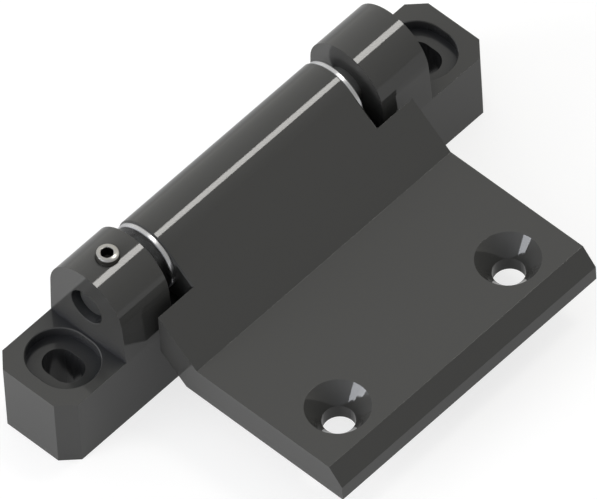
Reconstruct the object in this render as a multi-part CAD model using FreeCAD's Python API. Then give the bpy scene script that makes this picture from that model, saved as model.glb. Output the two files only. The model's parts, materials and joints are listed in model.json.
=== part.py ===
import FreeCAD, Part
import math
import os

# Heavy machine-door hinge: a base block with two lugs, and a leaf that swings between them.
# X runs along the bar, the leaf stands out towards -Y, and Z is up.
# The origin is the centre of the bar's underside. Sizes are in millimetres and degrees.

# Pin, bushes and barrel, from the middle outwards
pin_radius = 5.0
bush_clearance = 0.05
bush_wall = 1.45
bush_press = 0.01
bush_length = 20.0
flange_thickness = 1.4
flange_step = 0.4
flange_edge = 0.3
barrel_wall = 3.4
barrel_length = 65.0
barrel_edge = 0.4

# Base block: bar, lugs and the two slotted screw recesses
side_play = 3.6
lug_thickness = 16.4
lug_wall = 7.0
bar_height = 21.4
bar_corner = 4.1
barrel_gap = 1.4
slot_width = 8.4
slot_travel = 3.0
recess_ledge = 4.0
recess_depth = 3.0
recess_side_wall = 2.9
recess_end_wall = 3.9
recess_to_lug = 0.8
rim_chamfer = 0.2
bore_chamfer = 0.1

# Hinge pin and the set screw that holds it in the left lug
pin_clearance = 0.02
pin_recess = 2.1
pin_chamfer = 1.0
screw_radius = 3.0
screw_clearance = 0.05
screw_stand = 1.6
screw_seat_depth = 1.4
screw_chamfer = 0.4
socket_across_flats = 3.0
socket_depth = 3.0

# Leaf: wings, sloping web and plate
leaf_reach = 75.0
leaf_height = 12.4
plate_thickness = 9.4
web_thickness = 9.7
web_angle = 41.5
wing_width = 12.25
wing_clearance = 1.5
neck_gap = 3.3
edge_chamfer_in = 4.0
edge_chamfer_down = 4.8
hole_diameter = 8.4
countersink_diameter = 16.5
countersink_angle = 75.0
hole_side_inset = 14.75
hole_edge_inset = 15.0

# Barrel and bush sizes that follow
bush_bore_radius = pin_radius + bush_clearance
housing_radius = bush_bore_radius + bush_wall
barrel_radius = housing_radius + barrel_wall
flange_radius = barrel_radius - flange_step

# Places along the bar, measured from its middle
barrel_end = barrel_length / 2
lug_inner = barrel_end + flange_thickness + side_play
lug_outer = lug_inner + lug_thickness
lug_middle = (lug_inner + lug_outer) / 2
recess_width = slot_width + 2 * recess_ledge
slot_place = lug_outer + recess_to_lug + recess_width / 2
bar_end = slot_place + recess_width / 2 + recess_end_wall

# Heights and half widths that follow
bar_half = (recess_width + slot_travel) / 2 + recess_side_wall
lug_radius = pin_radius + lug_wall
axis_height = bar_height + barrel_gap + barrel_radius
plate_top = leaf_height + plate_thickness
screw_top = axis_height + lug_radius + screw_stand
screw_foot = axis_height + pin_radius - screw_seat_depth

# Leaf places that follow: the wings stand clear of the bar, the lugs and the set screw
wing_back = -max(lug_radius + screw_stand, bar_half) - wing_clearance
wing_end = barrel_end + wing_width
hole_x = wing_end - hole_side_inset
hole_y = hole_edge_inset - leaf_reach

along = FreeCAD.Vector(1, 0, 0)
upward = FreeCAD.Vector(0, 0, 1)


def point(x, y, z):
    """A point in the part's frame."""
    return FreeCAD.Vector(x, y, z)


def touch(y, z, radius, side):
    """Where a line from (y, z) touches a circle about the pin axis. side is 1 or -1."""
    rise = z - axis_height
    turn = math.atan2(rise, y) + side * math.acos(radius / math.hypot(y, rise))
    return radius * math.cos(turn), axis_height + radius * math.sin(turn)


def arc_about_axis(x, start, end, through):
    """An arc about the pin axis between two (y, z) points, by way of the angle through."""
    reach = math.hypot(start[0], start[1] - axis_height)
    bend = math.radians(through)
    middle = point(x, reach * math.cos(bend), axis_height + reach * math.sin(bend))
    return Part.Arc(point(x, *start), middle, point(x, *end)).toShape()


def line(x, start, end):
    """A straight edge between two (y, z) points."""
    return Part.makeLine(point(x, *start), point(x, *end))


def prism(edges, length):
    """The solid that a closed outline sweeps along X."""
    return Part.Face(Part.Wire(edges)).extrude(along * length)


def rod(radius, start, end):
    """A round bar on the pin axis from x = start to x = end."""
    return Part.makeCylinder(radius, end - start, point(start, 0, axis_height), along)


def chamfered_rod(radius, start, end, chamfer):
    """A round bar on the pin axis with both ends chamfered."""
    bar = rod(radius, start, end)
    rims = [e for e in bar.Edges if e.BoundBox.XLength < radius / 100]
    return bar.makeChamfer(chamfer, rims)


def obround(x, width, travel, z):
    """A slot outline at height z, with round ends, its long way along Y."""
    half = width / 2
    shift = travel / 2
    corners = [point(x - half, -shift, z), point(x + half, -shift, z)]
    corners += [point(x + half, shift, z), point(x - half, shift, z)]
    front = Part.Arc(corners[0], point(x, -shift - half, z), corners[1]).toShape()
    back = Part.Arc(corners[2], point(x, shift + half, z), corners[3]).toShape()
    sides = [Part.makeLine(corners[1], corners[2]), Part.makeLine(corners[3], corners[0])]
    return Part.Wire([front, sides[0], back, sides[1]])


def make_bar():
    """The bar with its four upright corners chamfered."""
    inner_x = bar_end - bar_corner
    inner_y = bar_half - bar_corner
    corners = [(-bar_end, -inner_y), (-inner_x, -bar_half), (inner_x, -bar_half), (bar_end, -inner_y)]
    corners += [(-x, -y) for x, y in corners]
    outline = Part.makePolygon([point(x, y, 0) for x, y in corners + corners[:1]])
    return Part.Face(outline).extrude(upward * bar_height)


def make_lug(start):
    """A lug whose flanks rise from the bar's edges and run into its round top."""
    front_foot = (-bar_half, bar_height)
    back_foot = (bar_half, bar_height)
    front = touch(*front_foot, lug_radius, -1)
    back = touch(*back_foot, lug_radius, 1)
    outline = [line(start, back_foot, back)]
    outline.append(arc_about_axis(start, back, front, 90))
    outline.append(line(start, front, front_foot))
    outline.append(line(start, front_foot, back_foot))
    return prism(outline, lug_thickness)


def screw_recess(x):
    """What one slotted recess takes out of the bar: rim, recess and through slot."""
    rim = Part.makeLoft([obround(x, recess_width, slot_travel, bar_height - rim_chamfer),
                         obround(x, recess_width + 2 * rim_chamfer, slot_travel, bar_height)], True)
    floor = bar_height - recess_depth
    recess = Part.Face(obround(x, recess_width, slot_travel, floor)).extrude(upward * recess_depth)
    slot = Part.Face(obround(x, slot_width, slot_travel, 0)).extrude(upward * bar_height)
    return [rim, recess, slot]


def bore_mouth(face_x, inward):
    """The chamfer where the pin bore opens in a lug's outer face."""
    radius = pin_radius + pin_clearance
    face = point(face_x, 0, axis_height)
    return Part.makeCone(radius + bore_chamfer, radius, bore_chamfer, face, along * inward)


def make_base_block():
    """The one-piece base: bar, lugs, pin bore, set-screw hole and slotted recesses."""
    block = make_bar().fuse([make_lug(-lug_outer), make_lug(lug_inner)])
    cuts = [rod(pin_radius + pin_clearance, -lug_outer, lug_outer)]
    cuts += [bore_mouth(-lug_outer, 1), bore_mouth(lug_outer, -1)]
    screw_place = point(-lug_middle, 0, axis_height)
    cuts.append(Part.makeCylinder(screw_radius + screw_clearance, lug_radius, screw_place))
    for side in (-1, 1):
        cuts += screw_recess(side * slot_place)
    return block.cut(cuts).removeSplitter()


def web_top(y):
    """Height of the web's sloping top, which runs off the barrel's upper front."""
    slope = math.radians(web_angle)
    return axis_height + (barrel_radius + y * math.sin(slope)) / math.cos(slope)


def web_top_y(z, depth=0.0):
    """Where the web's top, or a plane depth below it, is at height z."""
    slope = math.radians(web_angle)
    return ((z - axis_height) * math.cos(slope) + depth - barrel_radius) / math.sin(slope)


def make_neck():
    """The barrel and the neck that runs off it to the wings, both sides tangent to the barrel."""
    slope = math.radians(web_angle)
    upper = (-barrel_radius * math.sin(slope), axis_height + barrel_radius * math.cos(slope))
    upper_root = (wing_back, web_top(wing_back))
    lower_root = (wing_back, bar_height + neck_gap)
    lower = touch(*lower_root, barrel_radius, 1)
    outline = [arc_about_axis(-barrel_end, upper, lower, 0)]
    outline.append(line(-barrel_end, lower, lower_root))
    outline.append(line(-barrel_end, lower_root, upper_root))
    outline.append(line(-barrel_end, upper_root, upper))
    neck = prism(outline, barrel_length)
    slack = barrel_edge / 10
    ends = [e for e in neck.Edges if e.BoundBox.XLength < slack and e.BoundBox.YMax > wing_back + slack]
    return neck.makeChamfer(barrel_edge, ends)


def make_wings_and_plate():
    """The full-width part of the leaf: upright back, sloping web, flat plate and chamfered free edge."""
    drop = web_thickness / math.cos(math.radians(web_angle))
    corners = [(wing_back, web_top(wing_back)), (web_top_y(plate_top), plate_top)]
    corners += [(edge_chamfer_in - leaf_reach, plate_top), (-leaf_reach, plate_top - edge_chamfer_down)]
    corners += [(-leaf_reach, leaf_height), (web_top_y(leaf_height, web_thickness), leaf_height)]
    corners.append((wing_back, web_top(wing_back) - drop))
    edges = [line(-wing_end, a, b) for a, b in zip(corners, corners[1:] + corners[:1])]
    return prism(edges, 2 * wing_end)


def countersunk_hole(x):
    """What one leaf hole takes out: a through hole and its countersink."""
    hole = Part.makeCylinder(hole_diameter / 2, plate_thickness, point(x, hole_y, leaf_height))
    depth = (countersink_diameter - hole_diameter) / 2 / math.tan(math.radians(countersink_angle / 2))
    seat_foot = point(x, hole_y, plate_top - depth)
    seat = Part.makeCone(hole_diameter / 2, countersink_diameter / 2, depth, seat_foot)
    return [hole, seat]


def make_leaf():
    """The one-piece leaf: barrel, neck, wings, web and drilled plate."""
    body = make_wings_and_plate().fuse(make_neck())
    cuts = [rod(housing_radius, -barrel_end, barrel_end)]
    for side in (-1, 1):
        cuts += countersunk_hole(side * hole_x)
    return body.cut(cuts).removeSplitter()


def make_pin():
    """The hinge pin, spotted on top for the set screw."""
    pin_end = lug_outer - pin_recess
    pin = chamfered_rod(pin_radius, -pin_end, pin_end, pin_chamfer)
    spot = Part.makeCylinder(screw_radius + screw_clearance, pin_radius, point(-lug_middle, 0, screw_foot))
    return pin.cut(spot)


def make_set_screw():
    """The socket set screw that stands upright in the left lug, its foot in the pin's spot."""
    length = screw_top - screw_foot
    screw = Part.makeCylinder(screw_radius, length, point(-lug_middle, 0, screw_foot))
    screw = screw.makeChamfer(screw_chamfer, [e for e in screw.Edges if e.BoundBox.ZLength < length / 100])
    corner = socket_across_flats / math.sqrt(3)
    turns = [math.radians(60 * step) for step in range(7)]
    floor = screw_top - socket_depth
    hexagon = [point(corner * math.cos(a) - lug_middle, corner * math.sin(a), floor) for a in turns]
    socket = Part.Face(Part.makePolygon(hexagon)).extrude(upward * socket_depth)
    return screw.cut(socket)


def make_bush(side):
    """A flanged bush pressed into one end of the barrel. side is -1 or 1."""
    start = side * (barrel_end - bush_length)
    face = side * barrel_end
    rim = side * (barrel_end + flange_thickness)
    sleeve = rod(housing_radius + bush_press, min(start, face), max(start, face))
    flange = rod(flange_radius, min(face, rim), max(face, rim))
    slack = flange_edge / 10
    outer = [e for e in flange.Edges if e.BoundBox.XLength < slack and abs(e.BoundBox.XMin - rim) < slack]
    bush = sleeve.fuse(flange.makeChamfer(flange_edge, outer)).removeSplitter()
    return bush.cut(rod(bush_bore_radius, min(start, rim), max(start, rim)))


nodes = {
    "base_block": make_base_block(),
    "leaf": make_leaf(),
    "hinge_pin": make_pin(),
    "set_screw": make_set_screw(),
    "bush_left": make_bush(-1),
    "bush_right": make_bush(1),
}

os.makedirs("parts", exist_ok=True)
for name, shape in nodes.items():
    shape.exportStep(os.path.join("parts", name + ".step"))
    print(name, "valid", shape.isValid(), "solids", len(shape.Solids), "volume", round(shape.Volume, 1))
print("pin axis height", axis_height, "bar length", 2 * bar_end, "bar width", 2 * bar_half)
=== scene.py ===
"""A machine-door hinge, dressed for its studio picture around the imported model.

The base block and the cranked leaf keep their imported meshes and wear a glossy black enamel. The pin and
the flanged bushes keep theirs and get turned steel. The set screw is built here with its thread and its
hexagon socket. Every length is in metres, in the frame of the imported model: +X runs along the pin, +Z is
up from the seat, and the leaf stands out towards -Y.
"""

import json
import logging
import math
from dataclasses import dataclass, field
from enum import Enum
from typing import Any

import bpy
import numpy as np
from mathutils import Matrix, Vector


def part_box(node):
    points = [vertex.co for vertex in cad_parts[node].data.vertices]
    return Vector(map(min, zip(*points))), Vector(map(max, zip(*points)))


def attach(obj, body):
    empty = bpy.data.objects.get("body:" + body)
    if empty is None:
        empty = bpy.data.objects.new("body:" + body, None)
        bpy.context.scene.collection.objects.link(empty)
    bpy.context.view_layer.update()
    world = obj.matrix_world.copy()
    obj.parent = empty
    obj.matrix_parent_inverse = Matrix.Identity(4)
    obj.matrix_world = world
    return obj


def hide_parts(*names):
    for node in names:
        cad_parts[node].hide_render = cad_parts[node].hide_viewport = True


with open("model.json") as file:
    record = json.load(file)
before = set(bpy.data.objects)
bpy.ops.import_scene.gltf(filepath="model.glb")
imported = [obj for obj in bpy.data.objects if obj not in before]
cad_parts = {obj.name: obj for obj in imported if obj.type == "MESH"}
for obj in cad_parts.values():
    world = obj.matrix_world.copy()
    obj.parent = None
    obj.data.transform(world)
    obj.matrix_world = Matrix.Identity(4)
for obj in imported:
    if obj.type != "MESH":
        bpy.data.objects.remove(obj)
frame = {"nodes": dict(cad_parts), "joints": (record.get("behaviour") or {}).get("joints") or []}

log = logging.getLogger("hinge")

MM = 0.001
IMAGE_WIDTH = 597
IMAGE_HEIGHT = 499

Colour = tuple[float, float, float]
Point = tuple[float, float, float]
Socket = bpy.types.NodeSocket

# The point on the pin's axis about which the leaf swings
SWING_PLACE: Point = next(
    tuple(joint["pos_m"]) for joint in frame["joints"] if joint["name"] == "leaf_swing"
)


class Axis(Enum):
    """The way a turned part's axis points: its own coordinate's number, then the two across it."""

    ALONG_PIN = (0, 1, 2)
    UPRIGHT = (2, 0, 1)


class NodeTree:
    """Adds shader nodes to one tree and links them as they are made."""

    def __init__(self, tree: bpy.types.NodeTree) -> None:
        """Empties the tree.

        Args:
            tree: The node tree of a material or of the world.
        """
        self.tree = tree
        self.tree.nodes.clear()

    def add(
        self, kind: str, inputs: dict[str | int, Any] | None = None, **settings: Any
    ) -> bpy.types.Node:
        """Makes a node, sets its properties, and fills or links its inputs.

        Args:
            kind: The node's type, such as "ShaderNodeMath".
            inputs: For each input's name or number, a value or the socket that feeds it.
            **settings: Properties of the node, such as operation="ADD".

        Returns:
            The new node.
        """
        node = self.tree.nodes.new(kind)
        for name, value in settings.items():
            setattr(node, name, value)
        for name, value in (inputs or {}).items():
            if isinstance(value, Socket):
                self.tree.links.new(value, node.inputs[name])
            else:
                node.inputs[name].default_value = value
        return node

    def maths(self, operation: str, *values: Any) -> Socket:
        """A Math node's result for the given numbers or sockets."""
        return self.add("ShaderNodeMath", dict(enumerate(values)), operation=operation).outputs[0]

    def dot(self, first: Any, second: Any) -> Socket:
        """The scalar product of two directions."""
        inputs = {0: first, 1: second}
        return self.add("ShaderNodeVectorMath", inputs, operation="DOT_PRODUCT").outputs["Value"]

    def spread(self, value: Socket, low: float, high: float) -> Socket:
        """A value between 0 and 1 carried over to the span from low to high."""
        inputs = {"Value": value, "To Min": low, "To Max": high}
        return self.add("ShaderNodeMapRange", inputs).outputs[0]

    def ramp(self, value: Socket, start: float, full: float) -> Socket:
        """A share that is 0 up to the start and 1 past the full value, which may be the lower one."""
        inputs = {"Value": value, "From Min": start, "From Max": full}
        return self.add("ShaderNodeMapRange", inputs).outputs[0]

    def tinted(self, share: Socket, first: Any, second: Colour) -> Socket:
        """Mixes two colours.

        Args:
            share: How far the mixture lies from the first colour to the second, from 0 to 1.
            first: The first colour, or the socket that gives it.
            second: The second colour.

        Returns:
            The mixture.
        """
        if not isinstance(first, Socket):
            first = (*first, 1)
        mix = self.add("ShaderNodeMix", {0: share, 6: first, 7: (*second, 1)}, data_type="RGBA")
        return mix.outputs[2]

    def object_place(self) -> Socket:
        """The shaded point in Object coordinates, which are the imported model's."""
        return self.add("ShaderNodeTexCoord").outputs["Object"]

    def noise(self, place: Socket, size: float, detail: float, roughness: float = 0.5) -> Socket:
        """Noise with swells of that size, and finer ones on them as the detail and the roughness grow."""
        inputs = {"Vector": place, "Scale": 1 / size, "Detail": detail, "Roughness": roughness}
        return self.add("ShaderNodeTexNoise", inputs).outputs[0]

    def rings(self, path: Socket, pitch: float) -> Socket:
        """Noise of one dimension along a path, with one ring to a pitch."""
        inputs = {"W": self.maths("DIVIDE", path, pitch), "Scale": 1.0, "Detail": 2.0}
        return self.add("ShaderNodeTexNoise", inputs, noise_dimensions="1D").outputs[0]

    def from_axis(self, place: Socket, centre: Point, axis: Axis) -> tuple[Socket, Socket]:
        """A place's distance from an axis, and how far along it the place lies.

        With the place's offset from the centre as (a, b, c), a along the axis, the distance is the root
        of b squared plus c squared, and a is how far along it lies.

        Args:
            place: The place.
            centre: A point on the axis, from which the length along it is measured.
            axis: The way that it points.

        Returns:
            The distance from the axis and the length along it.
        """
        offset = self.add("ShaderNodeVectorMath", {0: place, 1: centre}, operation="SUBTRACT").outputs[0]
        parts = self.add("ShaderNodeSeparateXYZ", {0: offset}).outputs
        along, first, second = axis.value
        across = self.add("ShaderNodeCombineXYZ", {0: parts[first], 1: parts[second]}).outputs[0]
        distance = self.add("ShaderNodeVectorMath", {0: across}, operation="LENGTH").outputs["Value"]
        return distance, parts[along]

    def rounded(self, radius: float, samples: int) -> Socket:
        """The surface's normal as if its edges were rounded by that radius."""
        return self.add("ShaderNodeBevel", {"Radius": radius}, samples=samples).outputs[0]

    def relief(self, height: Socket, depth: float, normal: Socket) -> Socket:
        """The normal with a relief on it, whose height goes from 0 to 1 times the depth."""
        inputs = {"Height": height, "Distance": depth, "Normal": normal}
        return self.add("ShaderNodeBump", inputs).outputs[0]

    def surface(self, inputs: dict[str, Any]) -> None:
        """Gives the material a Principled surface with those inputs."""
        shader = self.add("ShaderNodeBsdfPrincipled", inputs)
        self.add("ShaderNodeOutputMaterial", {"Surface": shader.outputs[0]})

    def turned_metal(
        self, colour: Socket, roughness: Socket, rings: Socket, ring_depth: float, edge_radius: float
    ) -> None:
        """Gives the material a bare metal surface with a tool's rings in it.

        Args:
            colour: The metal's colour.
            roughness: Its roughness.
            rings: The rings' height, from 0 to 1.
            ring_depth: Their depth.
            edge_radius: How widely the edges are broken.
        """
        normal = self.relief(rings, ring_depth, self.rounded(edge_radius, samples=8))
        self.surface({"Base Color": colour, "Metallic": 1.0, "Roughness": roughness, "Normal": normal})


def new_material(name: str) -> tuple[bpy.types.Material, NodeTree]:
    """Makes a material without nodes.

    Args:
        name: Its name.

    Returns:
        The material, and its node tree to be filled.
    """
    material = bpy.data.materials.new(name)
    material.use_nodes = True
    return material, NodeTree(material.node_tree)


@dataclass(frozen=True)
class GlossEnamel:
    """A sprayed and stoved black enamel, smooth and glossy, thinned a little over its edges.

    Attributes:
        name: The material's name.
        colour: The enamel's own colour.
        edge_colour: Its colour where it thins over an edge.
        edge_radius: How widely the enamel rounds an edge.
        edge_start: The cosine of the turn of the rounded normal at which the thinning begins.
        edge_full: The cosine at which it is complete.
        edge_least: The least share of the thinning that is left in the patchiest places.
        roughness: Its mean roughness.
        unevenness: How far the roughness strays from its mean.
        cloud_size: Width of the clouds in the roughness.
        grain_size: Width of the finest grain in it.
        grain_roughness: How much that grain adds.
        peel_size: Width of one swell of the orange peel.
        peel_height: Height of that swell.
        refraction: Its index of refraction.
        hollow_shade_colour: Its colour in hollows, darkened there as painted shade.
        hollow_reach: How near other walls must be for a place to count as a hollow.
        hollow_start: The share of open sky under which a hollow begins.
        hollow_full: The share at which it is complete.
        hollow_roughness: How much rougher it is there.
    """

    name: str
    colour: Colour = (0.060, 0.060, 0.058)
    edge_colour: Colour = (0.070, 0.070, 0.068)
    edge_radius: float = 0.06 * MM
    edge_start: float = 0.995
    edge_full: float = 0.80
    edge_least: float = 0.5
    roughness: float = 0.065
    unevenness: float = 0.015
    cloud_size: float = 14.0 * MM
    grain_size: float = 0.35 * MM
    grain_roughness: float = 0.01
    peel_size: float = 0.9 * MM
    peel_height: float = 0.0008 * MM
    refraction: float = 1.5
    hollow_shade_colour: Colour = (0.030, 0.030, 0.030)
    hollow_reach: float = 7.0 * MM
    hollow_start: float = 0.85
    hollow_full: float = 0.45
    hollow_roughness: float = 0.0

    def material(self) -> bpy.types.Material:
        """Makes the enamel.

        Broad clouds and a fine grain make the roughness uneven, and the relief is a swell of orange peel.
        The enamel thins where the normal rounded over the edges turns from the face's own. A hollow is
        where near walls of the same piece hide much of the sky; there the colour is darkened as painted
        shade, and the roughness rises.

        Returns:
            The material.
        """
        material, nodes = new_material(self.name)
        place = nodes.object_place()
        clouds = nodes.noise(place, self.cloud_size, detail=3.0)
        grain = nodes.noise(place, self.grain_size, detail=2.0)
        swells = nodes.noise(place, self.peel_size, detail=1.5, roughness=0.4)

        rounded = nodes.rounded(self.edge_radius, samples=6)
        face = nodes.add("ShaderNodeNewGeometry").outputs["Normal"]
        edge = nodes.ramp(nodes.dot(rounded, face), self.edge_start, self.edge_full)
        thinned = nodes.maths("MULTIPLY", edge, nodes.spread(clouds, self.edge_least, 1.0))
        # Painted shade: where near walls of the piece hide the sky, the enamel's colour is darkened.
        reach = {"Distance": self.hollow_reach}
        openness = nodes.add("ShaderNodeAmbientOcclusion", reach, samples=8, only_local=True)
        hollow = nodes.ramp(openness.outputs["AO"], self.hollow_start, self.hollow_full)
        film = nodes.tinted(thinned, self.colour, self.edge_colour)

        least, most = self.roughness - self.unevenness, self.roughness + self.unevenness
        roughness = nodes.spread(clouds, least, most)
        roughness = nodes.maths("MULTIPLY_ADD", grain, self.grain_roughness, roughness)
        roughness = nodes.maths("MULTIPLY_ADD", hollow, self.hollow_roughness, roughness)
        nodes.surface({
            "Base Color": nodes.tinted(hollow, film, self.hollow_shade_colour),
            "Roughness": roughness,
            "IOR": self.refraction,
            "Normal": nodes.relief(swells, self.peel_height, rounded),
        })
        return material


@dataclass(frozen=True)
class TurnedSteel:
    """Steel turned on a lathe: fine rings round its axis, and a slight bloom of oil or oxide.

    Attributes:
        name: The material's name.
        colour: The bare metal's colour.
        dull_colour: Its colour where oil or oxide clouds it.
        roughness: Its mean roughness.
        axis: The way the lathe's axis points.
        centre: A point on that axis.
        ring_pitch: Spacing of the tool's rings.
        ring_depth: Their depth.
        ring_spread: The share of the roughness by which it strays from ring to ring.
        bloom_size: Width of the clouds of oil or oxide.
        bloom_roughness: What the bloom adds to the roughness where it is least and most.
        edge_radius: How widely the edges are broken.
    """

    name: str
    colour: Colour
    dull_colour: Colour
    roughness: float
    axis: Axis = Axis.ALONG_PIN
    centre: Point = SWING_PLACE
    ring_pitch: float = 0.12 * MM
    ring_depth: float = 0.0012 * MM
    ring_spread: float = 0.25
    bloom_size: float = 2.5 * MM
    bloom_roughness: tuple[float, float] = (-0.03, 0.06)
    edge_radius: float = 0.10 * MM

    def material(self) -> bpy.types.Material:
        """Makes the steel.

        The tool leaves rings on end faces and on round walls alike, so they are noise of one dimension in
        the sum of a place's distance from the axis and its length along it.

        Returns:
            The material.
        """
        material, nodes = new_material(self.name)
        place = nodes.object_place()
        distance, along = nodes.from_axis(place, self.centre, self.axis)
        rings = nodes.rings(nodes.maths("ADD", distance, along), self.ring_pitch)
        bloom = nodes.noise(place, self.bloom_size, detail=4.0)
        least, most = self.roughness * (1 - self.ring_spread), self.roughness * (1 + self.ring_spread)
        bloomed = nodes.spread(bloom, *self.bloom_roughness)
        roughness = nodes.maths("ADD", nodes.spread(rings, least, most), bloomed)
        colour = nodes.tinted(bloom, self.colour, self.dull_colour)
        nodes.turned_metal(colour, roughness, rings, self.ring_depth, self.edge_radius)
        return material


@dataclass(frozen=True)
class PlatedScrewSteel:
    """A set screw's bright turned end, over an oiled thread and a socket, both darkened as painted shade.

    Attributes:
        centre: The point where the screw's axis meets the seat's level.
        end_height: Height of the end face.
        name: The material's name.
        bright: The bright end's colour.
        oil_and_shade: The colour of the thread, oiled and with painted shade, and of the socket, painted
            shade.
        bright_roughness: The bright end's roughness.
        oiled_roughness: The roughness of the dark thread and socket.
        end_depth: How far down from the end face the metal is bright.
        socket_radius: The distance from the axis within which the socket is painted dark as shade.
        border: Width of the border between bright and oiled metal.
        stain_size: Width of the stains on the bright metal.
        stain_share: The most that a stain takes from the brightness.
        ring_pitch: Spacing of the tool's rings.
        ring_depth: Their depth.
        ring_roughness: How far the roughness strays from ring to ring.
        edge_radius: How widely the edges are broken.
    """

    centre: Point
    end_height: float
    name: str = "plated_screw_steel"
    bright: Colour = (0.58, 0.57, 0.545)
    oil_and_shade: Colour = (0.055, 0.053, 0.048)
    bright_roughness: float = 0.27
    oiled_roughness: float = 0.50
    end_depth: float = 0.5 * MM
    socket_radius: float = 1.6 * MM
    border: float = 0.1 * MM
    stain_size: float = 0.8 * MM
    stain_share: float = 0.15
    ring_pitch: float = 0.10 * MM
    ring_depth: float = 0.0010 * MM
    ring_roughness: float = 0.05
    edge_radius: float = 0.32 * MM

    def material(self) -> bpy.types.Material:
        """Makes the steel.

        It is bright where both the height is near the end face's and the distance from the axis is past
        the socket's. The rings are noise of one dimension in that distance.

        Returns:
            The material.
        """
        material, nodes = new_material(self.name)
        place = nodes.object_place()
        distance, height = nodes.from_axis(place, self.centre, Axis.UPRIGHT)
        lowest = self.end_height - self.end_depth
        near_end = nodes.ramp(height, lowest, lowest + self.border)
        inner, outer = self.socket_radius - self.border / 2, self.socket_radius + self.border / 2
        bare = nodes.maths("MULTIPLY", near_end, nodes.ramp(distance, inner, outer))
        stain = nodes.noise(place, self.stain_size, detail=3.0)
        share = nodes.maths("MULTIPLY", bare, nodes.spread(stain, 1 - self.stain_share, 1.0))

        rings = nodes.rings(distance, self.ring_pitch)
        uneven = nodes.spread(rings, -self.ring_roughness, self.ring_roughness)
        roughness = nodes.spread(share, self.oiled_roughness, self.bright_roughness)
        roughness = nodes.maths("ADD", roughness, uneven)
        # The dark colour is oil on the thread, and painted shade on the thread and in the socket.
        colour = nodes.tinted(share, self.oil_and_shade, self.bright)
        nodes.turned_metal(colour, roughness, rings, self.ring_depth, self.edge_radius)
        return material


def dressed(node: str, material: bpy.types.Material) -> bpy.types.Object:
    """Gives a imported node's object that material in all its slots.

    Args:
        node: The node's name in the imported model.
        material: The finish.

    Returns:
        The node's object.
    """
    piece = frame["nodes"][node]
    if not piece.material_slots:
        piece.data.materials.append(material)
    for slot in piece.material_slots:
        slot.material = material
    return piece


def closed_lathe_mesh(
    name: str, radius: np.ndarray, height: np.ndarray, centre: Point, smooth_up_to: float
) -> bpy.types.Object:
    """Carries a profile round an upright axis, with its own radius in each direction, and closes it.

    A point of the grid lies at the axis plus the row's radius in the column's direction, and at the row's
    height: x = r cos a, y = r sin a, z = h. A fan of triangles joins the first row, and the last, to a
    point on the axis at the row's mean height.

    Args:
        name: The new object's name.
        radius: Rows by columns, the distance from the axis, from the foot's middle round to the top's.
        height: Rows by columns, the height.
        centre: The axis's foot.
        smooth_up_to: The angle between two faces, in degrees, up to which their edge is shaded smooth.

    Returns:
        The object, linked to the scene.
    """
    rows, columns = radius.shape
    turn = np.arange(columns) * 2 * math.pi / columns
    grid = np.stack([radius * np.cos(turn), radius * np.sin(turn), height], axis=-1).reshape(-1, 3)
    ends = np.array([(0.0, 0.0, height[0].mean()), (0.0, 0.0, height[-1].mean())])
    points = np.vstack([grid, ends]) + centre

    index = np.arange(rows * columns).reshape(rows, columns)
    beside = np.roll(index, -1, axis=1)
    quads = np.stack([index[:-1], beside[:-1], beside[1:], index[1:]], axis=-1).reshape(-1, 4)
    low_end = np.full(columns, rows * columns)
    foot_fan = np.stack([beside[0], index[0], low_end], axis=-1)
    top_fan = np.stack([index[-1], beside[-1], low_end + 1], axis=-1)

    mesh = bpy.data.meshes.new(name)
    mesh.from_pydata(points.tolist(), [], quads.tolist() + foot_fan.tolist() + top_fan.tolist())
    mesh.validate()
    mesh.polygons.foreach_set("use_smooth", np.ones(len(mesh.polygons), bool))
    mesh.set_sharp_from_angle(angle=math.radians(smooth_up_to))
    piece = bpy.data.objects.new(name, mesh)
    bpy.context.scene.collection.objects.link(piece)
    return piece


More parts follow.
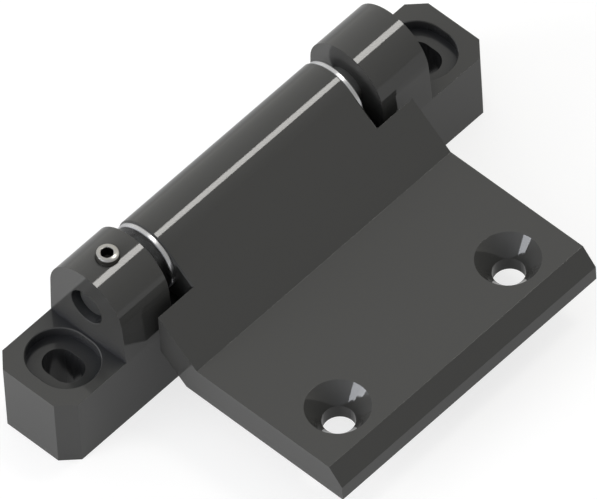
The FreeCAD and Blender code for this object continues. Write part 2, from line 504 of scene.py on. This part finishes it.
@dataclass
class ThreadedSetScrew:
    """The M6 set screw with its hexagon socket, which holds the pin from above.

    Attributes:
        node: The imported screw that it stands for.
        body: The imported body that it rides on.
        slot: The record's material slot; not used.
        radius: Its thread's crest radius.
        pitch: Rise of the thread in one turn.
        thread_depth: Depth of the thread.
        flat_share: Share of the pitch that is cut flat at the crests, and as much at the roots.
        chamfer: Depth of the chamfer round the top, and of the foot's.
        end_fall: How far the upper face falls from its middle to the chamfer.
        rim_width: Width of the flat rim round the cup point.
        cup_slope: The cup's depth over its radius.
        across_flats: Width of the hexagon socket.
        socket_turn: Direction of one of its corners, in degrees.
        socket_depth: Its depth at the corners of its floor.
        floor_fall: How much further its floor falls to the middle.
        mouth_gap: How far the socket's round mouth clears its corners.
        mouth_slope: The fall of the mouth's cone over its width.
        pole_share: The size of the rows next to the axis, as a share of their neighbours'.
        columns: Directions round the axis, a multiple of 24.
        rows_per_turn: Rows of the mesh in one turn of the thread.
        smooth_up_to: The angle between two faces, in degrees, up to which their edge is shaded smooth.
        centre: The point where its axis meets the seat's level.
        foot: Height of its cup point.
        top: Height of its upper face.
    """

    node: str = "set_screw"
    body: str = "base"
    slot: str = "plated_screw_steel"
    radius: float = 3.0 * MM
    pitch: float = 1.0 * MM
    thread_depth: float = 0.55 * MM
    flat_share: float = 0.10
    chamfer: float = 0.3 * MM
    end_fall: float = 0.2 * MM
    rim_width: float = 0.35 * MM
    cup_slope: float = 0.5
    across_flats: float = 3.0 * MM
    socket_turn: float = 45.0
    socket_depth: float = 3.0 * MM
    floor_fall: float = 0.5 * MM
    mouth_gap: float = 0.06 * MM
    mouth_slope: float = 0.6
    pole_share: float = 0.02
    columns: int = 96
    rows_per_turn: int = 14
    smooth_up_to: float = 28.0
    centre: Point = field(init=False)
    foot: float = field(init=False)
    top: float = field(init=False)

    def __post_init__(self) -> None:
        """Takes the axis, the foot's height and the top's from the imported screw's box."""
        low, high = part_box(self.node)
        self.centre = ((low.x + high.x) / 2, (low.y + high.y) / 2, 0.0)
        self.foot = low.z
        self.top = high.z

    def thread_radius(self, height: np.ndarray, turn: np.ndarray) -> np.ndarray:
        """The thread's radius at a height and in a direction.

        The groove is the crest radius less a triangle wave of the height minus the turn's share of the
        pitch, with its crests and roots cut flat. A cone at either end cuts it down to the chamfer.

        Args:
            height: Heights above the seat.
            turn: Directions, in radians.

        Returns:
            The radii.
        """
        phase = np.mod(height / self.pitch - turn / (2 * math.pi), 1.0)
        triangle = 1 - np.abs(2 * phase - 1)
        wave = np.clip((triangle - self.flat_share) / (1 - 2 * self.flat_share), 0, 1)
        thread = self.radius - self.thread_depth * wave
        from_end = np.minimum(self.top - self.end_fall - height, height - self.foot)
        return np.minimum(thread, self.radius - self.chamfer + from_end)

    def hexagon_radius(self, turn: np.ndarray) -> np.ndarray:
        """Half the hexagon's width over the cosine of the turn from its nearest flat's middle."""
        from_corner = np.mod(turn - math.radians(self.socket_turn), math.pi / 3)
        return self.across_flats / 2 / np.cos(from_corner - math.pi / 6)

    def build(self) -> bpy.types.Object:
        """Carries the screw's profile round its axis, from the cup point up to the socket's floor.

        The rows' radii and heights follow each other from the cup's middle to its rim, up the thread,
        over the upper face to the socket's round mouth, down its cone to the hexagon, and down that to
        the middle of its floor.

        Returns:
            The screw's object.
        """
        turn = np.arange(self.columns) * 2 * math.pi / self.columns
        whole_turn = np.ones(self.columns)
        steps = round((self.top - self.foot) / self.pitch * self.rows_per_turn)
        thread_height = np.linspace(self.foot, self.top - self.end_fall, steps + 1)[:, None]
        hexagon = self.hexagon_radius(turn)
        cup = self.radius - self.chamfer - self.rim_width
        mouth = self.across_flats / math.sqrt(3) + self.mouth_gap
        floor = self.top - self.socket_depth

        radius = np.vstack([
            whole_turn * self.pole_share * cup,
            whole_turn * cup,
            self.thread_radius(thread_height, turn),
            whole_turn * mouth,
            hexagon,
            hexagon,
            hexagon * self.pole_share,
        ])
        height = np.vstack([
            whole_turn * (self.foot + cup * self.cup_slope),
            whole_turn * self.foot,
            thread_height * whole_turn,
            whole_turn * self.top,
            self.top - (mouth - hexagon) * self.mouth_slope,
            whole_turn * floor,
            whole_turn * (floor - self.floor_fall),
        ])
        return closed_lathe_mesh("threaded_set_screw", radius, height, self.centre, self.smooth_up_to)

    def dress(self, piece: bpy.types.Object) -> None:
        """Puts the plated finish on the screw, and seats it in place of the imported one.

        Args:
            piece: The screw's object.
        """
        piece.data.materials.append(PlatedScrewSteel(self.centre, self.top).material())
        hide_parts(self.node)
        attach(piece, self.body)


@dataclass
class FixedSide:
    """The side that stays put: the base block, the pin through its lugs, and the set screw.

    Attributes:
        enamel: The block's finish, with darker painted shade than the leaf's in the screw recesses, and
            duller there.
        pin_steel: The pin's.
        screw: The set screw.
    """

    enamel: GlossEnamel = GlossEnamel(
        name="gloss_black_enamel_base",
        # Painted shade, darker than the leaf's, in the screw recesses and the bores.
        hollow_shade_colour=(0.024, 0.025, 0.028),
        hollow_reach=10.0 * MM,
        hollow_start=0.93,
        hollow_full=0.50,
        hollow_roughness=0.13,
    )
    pin_steel: TurnedSteel = TurnedSteel(
        name="oiled_pin_steel",
        colour=(0.30, 0.305, 0.30),
        dull_colour=(0.21, 0.21, 0.205),
        roughness=0.50,
    )
    screw: ThreadedSetScrew = field(default_factory=ThreadedSetScrew)

    def build(self) -> list[bpy.types.Object]:
        """Dresses the block and the pin, and builds the set screw.

        Returns:
            The three pieces.
        """
        block = dressed("base_block", self.enamel.material())
        pin = dressed("hinge_pin", self.pin_steel.material())
        screw = self.screw.build()
        self.screw.dress(screw)
        return [block, pin, screw]


@dataclass
class SwingingSide:
    """The side that swings: the cranked leaf and the two flanged bushes pressed into its barrel.

    Attributes:
        enamel: The leaf's finish.
        bush_steel: The bushes'.
    """

    enamel: GlossEnamel = GlossEnamel(name="gloss_black_enamel_leaf")
    bush_steel: TurnedSteel = TurnedSteel(
        name="bright_bush_steel",
        colour=(0.74, 0.74, 0.755),
        dull_colour=(0.62, 0.625, 0.64),
        roughness=0.27,
        edge_radius=0.40 * MM,
    )

    def build(self) -> list[bpy.types.Object]:
        """Dresses the leaf and its bushes.

        Returns:
            The three pieces.
        """
        steel = self.bush_steel.material()
        leaf = dressed("leaf", self.enamel.material())
        return [leaf, dressed("bush_left", steel), dressed("bush_right", steel)]


@dataclass(frozen=True)
class SoftLamp:
    """A distant lamp with a wide disc.

    Attributes:
        name: Its name.
        towards: The direction in which it is seen from the hinge.
        disc: The width of its disc, in degrees.
        strength: Its strength, in watts a square metre.
        colour: Its colour.
        mirrored: Whether glossy surfaces mirror it.
    """

    name: str
    towards: Point
    disc: float
    strength: float
    colour: Colour
    mirrored: bool = True

    def place(self) -> None:
        """Hangs the lamp."""
        lamp = bpy.data.lights.new(self.name, "SUN")
        lamp.angle = math.radians(self.disc)
        lamp.energy = self.strength
        lamp.color = self.colour
        holder = bpy.data.objects.new(self.name, lamp)
        holder.rotation_euler = Vector(self.towards).to_track_quat("Z", "Y").to_euler()
        holder.visible_glossy = self.mirrored
        bpy.context.scene.collection.objects.link(holder)


@dataclass(frozen=True)
class LightStrip:
    """A long narrow strip of light in the sky, which the countersinks mirror.

    Attributes:
        middle: The direction of its middle.
        across: The direction at right angles to all of the strip.
        half_length: Half its length, in degrees.
        half_width: Half its width, in degrees.
        edge: Width of its soft edge, in degrees.
        strength: How much brighter than the sky it is.
    """

    middle: Point = (-0.8830, 0.4080, 0.2319)
    across: Point = (0.3257, 0.1744, 0.9293)
    half_length: float = 21.2
    half_width: float = 2.5
    edge: float = 0.5
    strength: float = 6.6

    def light(self, nodes: NodeTree, towards: Socket) -> Socket:
        """The strip's light in a direction.

        It is its strength where the direction is within half the length of the middle, and within half
        the width of the great circle that runs along the strip, and fades over its soft edge.

        Args:
            nodes: The world's node tree.
            towards: The direction.

        Returns:
            The light.
        """
        end, past_end = np.cos(np.radians([self.half_length, self.half_length + self.edge])).tolist()
        side, past_side = np.sin(np.radians([self.half_width, self.half_width + self.edge])).tolist()
        lengthwise = nodes.ramp(nodes.dot(towards, self.middle), past_end, end)
        aside = nodes.maths("ABSOLUTE", nodes.dot(towards, self.across))
        inside = nodes.maths("MULTIPLY", lengthwise, nodes.ramp(aside, past_side, side))
        return nodes.maths("MULTIPLY", inside, self.strength)


@dataclass
class Studio:
    """The pale floor, the soft sky with its strip of light, and the two lamps.

    Attributes:
        floor_half: Half the floor's width.
        floor_colour: The floor's own colour.
        shown_lift: How much whiter the floor looks to the camera.
        mirrored_lift: How much whiter it looks in reflections and through glass.
        sky_mean: The sky's strength at the level of the horizon, on average.
        sky_back: How much it gains towards the back (+Y).
        sky_up: How much it gains towards the top.
        cool: The sky's colour on the left (-X).
        warm: Its colour on the right (+X).
        strip: The strip of light in it.
        lamps: The lamps.
    """

    floor_half: float = 12.0
    floor_colour: Colour = (0.35, 0.35, 0.35)
    shown_lift: float = 0.74
    mirrored_lift: float = 0.34
    sky_mean: float = 0.65
    sky_back: float = 0.22
    sky_up: float = -0.07
    cool: Colour = (0.96, 0.99, 1.06)
    warm: Colour = (1.02, 1.0, 0.925)
    strip: LightStrip = LightStrip()
    lamps: tuple[SoftLamp, ...] = (
        SoftLamp("key_lamp", (0.438, -0.077, 0.896), 13.4, 0.43, (1.0, 0.985, 0.95)),
        SoftLamp("side_lamp", (-0.915, 0.308, 0.263), 40.4, 1.75, (1.0, 0.985, 0.98), mirrored=False),
    )

    def build(self) -> None:
        """Sets up the floor, the sky and the lamps."""
        self.floor()
        self.sky()
        for lamp in self.lamps:
            lamp.place()

    def floor(self) -> None:
        """Lays the floor, a matt square at the height of the seat.

        It glows by shown_lift in what the camera sees and by mirrored_lift in reflections and through
        glass, and not at all where it lights the hinge.
        """
        mesh = bpy.data.meshes.new("floor")
        corners = np.array([(-1, -1, 0), (1, -1, 0), (1, 1, 0), (-1, 1, 0)]) * self.floor_half
        mesh.from_pydata(corners.tolist(), [], [(0, 1, 2, 3)])
        floor = bpy.data.objects.new("floor", mesh)
        bpy.context.scene.collection.objects.link(floor)
        material, nodes = new_material("pale_floor")
        matt = nodes.add("ShaderNodeBsdfDiffuse", {"Color": (*self.floor_colour, 1)})
        rays = nodes.add("ShaderNodeLightPath").outputs
        mirrored = nodes.maths("MAXIMUM", rays["Is Glossy Ray"], rays["Is Transmission Ray"])
        shown = nodes.maths("MULTIPLY", rays["Is Camera Ray"], self.shown_lift)
        lift = nodes.maths("MULTIPLY_ADD", mirrored, self.mirrored_lift, shown)
        glow = nodes.add("ShaderNodeEmission", {"Strength": lift})
        both = nodes.add("ShaderNodeAddShader", {0: matt.outputs[0], 1: glow.outputs[0]})
        nodes.add("ShaderNodeOutputMaterial", {"Surface": both.outputs[0]})
        mesh.materials.append(material)

    def sky(self) -> None:
        """Fills the world with a soft light, stronger from the back than from the front.

        The strength in a direction (x, y, z) is the mean plus sky_back times y plus sky_up times z, and
        the strip's light on top. The colour goes from cool to warm as x goes from -1 to 1. The camera
        sees plain white in its place, so that no edge of the floor shows.
        """
        world = bpy.data.worlds.new("soft_sky")
        world.use_nodes = True
        bpy.context.scene.world = world
        nodes = NodeTree(world.node_tree)
        towards = nodes.add("ShaderNodeTexCoord").outputs["Generated"]
        parts = nodes.add("ShaderNodeSeparateXYZ", {0: towards}).outputs
        back = nodes.maths("MULTIPLY", parts[1], self.sky_back)
        up = nodes.maths("MULTIPLY", parts[2], self.sky_up)
        strength = nodes.maths("ADD", nodes.maths("ADD", back, up), self.sky_mean)
        strength = nodes.maths("ADD", strength, self.strip.light(nodes, towards))
        colour = nodes.tinted(nodes.ramp(parts[0], -1.0, 1.0), self.cool, self.warm)
        light = nodes.add("ShaderNodeBackground", {"Color": colour, "Strength": strength}).outputs[0]
        white = nodes.add("ShaderNodeBackground", {"Color": (1, 1, 1, 1), "Strength": 1.0}).outputs[0]
        seen = nodes.add("ShaderNodeLightPath").outputs["Is Camera Ray"]
        either = nodes.add("ShaderNodeMixShader", {0: seen, 1: light, 2: white})
        nodes.add("ShaderNodeOutputWorld", {"Surface": either.outputs[0]})


@dataclass
class PhotoCamera:
    """A very long lens, far off, at the photograph's viewing angle.

    Attributes:
        azimuth: Degrees round the object; 0 looks along +Y.
        elevation: Degrees above the horizon.
        roll: Degrees by which the camera leans.
        distance: From the camera to the target.
        pixels_per_mm: Scale of the picture at the target.
        target: A point in the hinge.
        target_pixel: Where the picture shows that point, from its upper left corner.
        sensor_width: Width of the camera's sensor, in millimetres.
        nearest: The distance from which the camera sees.
        farthest: The distance up to which it sees.
    """

    azimuth: float = -43.5629
    elevation: float = 51.9890
    roll: float = -3.9851
    distance: float = 5.6
    pixels_per_mm: float = 4.1375
    target: Point = (0.0, -20 * MM, 15 * MM)
    target_pixel: tuple[float, float] = (303.4884, 262.9541)
    sensor_width: float = 36.0
    nearest: float = 0.1
    farthest: float = 100.0

    def place(self) -> None:
        """Makes the camera and frames the picture with it.

        Its axes are worked out from the azimuth and the elevation and turned by the roll. It stands back
        from the point that the picture's middle shows, which is the target moved across the view by the
        pixels between them.
        """
        azimuth, elevation, roll = np.radians([self.azimuth, self.elevation, self.roll])
        back = np.array([
            math.sin(azimuth) * math.cos(elevation),
            -math.cos(azimuth) * math.cos(elevation),
            math.sin(elevation),
        ])
        level = np.array([math.cos(azimuth), math.sin(azimuth), 0.0])
        upright = np.cross(back, level)
        right = level * math.cos(roll) + upright * math.sin(roll)
        up = upright * math.cos(roll) - level * math.sin(roll)
        scale = self.pixels_per_mm / MM
        across = (IMAGE_WIDTH / 2 - self.target_pixel[0]) / scale
        above = (self.target_pixel[1] - IMAGE_HEIGHT / 2) / scale
        middle = np.array(self.target) + right * across + up * above

        data = bpy.data.cameras.new("photo_camera")
        data.sensor_width = self.sensor_width
        data.lens = self.sensor_width * scale * self.distance / IMAGE_WIDTH
        data.clip_start = self.nearest
        data.clip_end = self.farthest
        camera = bpy.data.objects.new("photo_camera", data)
        turned = Matrix((right, up, back)).transposed().to_4x4()
        camera.matrix_world = Matrix.Translation(middle + back * self.distance) @ turned
        bpy.context.scene.collection.objects.link(camera)
        bpy.context.scene.camera = camera
        log.info("camera: %.0f mm lens, %.2f m away", data.lens, self.distance)


def main() -> None:
    """Builds the hinge's two sides, the studio and the camera, in that order."""
    logging.basicConfig(level=logging.INFO, format="%(name)s: %(message)s")
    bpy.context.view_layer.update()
    bpy.context.scene.view_settings.view_transform = "Standard"
    for side in (FixedSide(), SwingingSide()):
        for piece in side.build():
            finish = piece.material_slots[0].material.name
            log.info("%s: %d faces, dressed in %s", piece.name, len(piece.data.polygons), finish)
    Studio().build()
    PhotoCamera().place()


if __name__ == "__main__":
    main()
